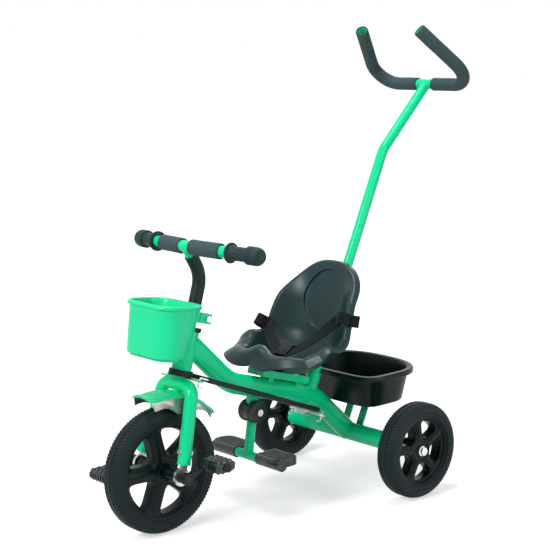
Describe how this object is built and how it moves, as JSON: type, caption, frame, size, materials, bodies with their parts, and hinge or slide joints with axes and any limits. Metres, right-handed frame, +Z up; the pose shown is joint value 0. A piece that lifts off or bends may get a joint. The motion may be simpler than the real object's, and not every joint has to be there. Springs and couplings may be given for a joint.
{
  "type": "toddler push-along trike",
  "caption": "Child's pedal trike with bucket seat, lap belt, front and rear baskets, folding footrest and a push bar linked to the steering.",
  "frame": {"origin": "middle of the bounding box on the ground under the wheels", "axes": "+X forward, +Y to the rider's left, +Z up"},
  "size_m": [0.9013, 0.457, 0.9688],
  "materials": {
    "green_paint": "gloss",
    "green_plastic": "gloss",
    "black_plastic": "satin",
    "webbing": "woven",
    "foam": "matt closed-cell foam",
    "tyre": "matt",
    "zinc": "zinc plated",
    "bright_nut": "bright",
    "silver_plastic": "silver"
  },
  "bodies": {
    "frame": {"main_beam": "green_paint", "head_tube": "green_paint", "rear_axle_tube": "green_paint", "pusher_socket": "green_paint", "seat_channel": "green_paint", "footrest_lug": "green_paint", "basket_struts": "green_paint", "lower_cup": "black_plastic", "upper_cup": "black_plastic", "seat_shell": "black_plastic", "belt_left": "webbing", "belt_right": "webbing", "belt_buckle": "black_plastic", "frame_bolts": "zinc", "rear_basket": "black_plastic", "rear_axle": "zinc", "axle_plugs": "black_plastic", "axle_nuts": "bright_nut", "footrest_bolt": "zinc"},
    "steering": {"fork": "green_paint", "dropouts": "zinc", "dropout_bushes": "black_plastic", "fork_bolts": "zinc", "steering_arm": "green_paint", "mudguard": "green_plastic", "mudguard_skirts": "silver_plastic", "locknut": "zinc", "stem_clamp": "green_paint", "clamp_bolt": "zinc", "stem": "green_paint", "stem_sleeve": "foam", "handlebar": "green_paint", "bar_foam": "foam", "grip_left": "black_plastic", "grip_right": "black_plastic", "front_basket": "green_plastic", "basket_screws": "zinc"},
    "front_wheel": {"front_tyre": "tyre", "front_rim": "black_plastic", "crank_axle": "zinc", "crank_left": "black_plastic", "crank_right": "black_plastic"},
    "left_pedal": {"pedal_left": "black_plastic"},
    "right_pedal": {"pedal_right": "black_plastic"},
    "rear_wheel_left": {"rear_tyre_left": "tyre", "rear_rim_left": "black_plastic"},
    "rear_wheel_right": {"rear_tyre_right": "tyre", "rear_rim_right": "black_plastic"},
    "pusher": {"push_bar": "green_paint", "push_handle": "green_paint", "handle_foam": "foam", "pusher_lever": "zinc", "lever_nut": "zinc"},
    "rod_left": {"tie_rod_left": "zinc", "rod_sleeve_left": "black_plastic"},
    "rod_right": {"tie_rod_right": "zinc", "rod_sleeve_right": "black_plastic"},
    "footrest": {"footrest_drum": "black_plastic", "footrest_post": "green_paint", "foot_pads": "black_plastic"}
  },
  "joints": [
    {"name": "steer", "type": "hinge", "parent": "frame", "child": "steering", "pos_m": [0.32561, 0, 0.125], "axis": [-0.2924, 0, 0.9563], "range_deg": [-25, 25]},
    {"name": "front_wheel_spin", "type": "hinge", "parent": "steering", "child": "front_wheel", "pos_m": [0.32561, 0, 0.125], "axis": [0, 1, 0], "continuous": true},
    {"name": "pedal_left_spin", "type": "hinge", "parent": "front_wheel", "child": "left_pedal", "pos_m": [0.27705, 0.119, 0.15082], "axis": [0, 1, 0], "continuous": true},
    {"name": "pedal_right_spin", "type": "hinge", "parent": "front_wheel", "child": "right_pedal", "pos_m": [0.37417, -0.119, 0.09918], "axis": [0, 1, 0], "continuous": true},
    {"name": "rear_left_spin", "type": "hinge", "parent": "frame", "child": "rear_wheel_left", "pos_m": [-0.18239, 0.2045, 0.1], "axis": [0, 1, 0], "continuous": true},
    {"name": "rear_right_spin", "type": "hinge", "parent": "frame", "child": "rear_wheel_right", "pos_m": [-0.18239, -0.2045, 0.1], "axis": [0, 1, 0], "continuous": true},
    {"name": "pusher_turn", "type": "hinge", "parent": "frame", "child": "pusher", "pos_m": [-0.06565, 0, 0.2018], "axis": [-0.421, 0, 0.907], "range_deg": [-25, 25]},
    {"name": "rod_left_turn", "type": "hinge", "parent": "steering", "child": "rod_left", "pos_m": [0.25857, 0.044, 0.29639], "axis": [-0.2924, 0, 0.9563], "range_deg": [-25, 25]},
    {"name": "rod_right_turn", "type": "hinge", "parent": "steering", "child": "rod_right", "pos_m": [0.25857, -0.044, 0.29639], "axis": [-0.2924, 0, 0.9563], "range_deg": [-25, 25]},
    {"name": "footrest_fold", "type": "hinge", "parent": "frame", "child": "footrest", "pos_m": [0.08764, 0, 0.19667], "axis": [0, 1, 0], "range_deg": [0, 60]}
  ],
  "couplings": [
    {"joint": "pusher_turn", "follows": "steer", "ratio": 1},
    {"joint": "rod_left_turn", "follows": "steer", "ratio": -1},
    {"joint": "rod_right_turn", "follows": "steer", "ratio": -1}
  ]
}
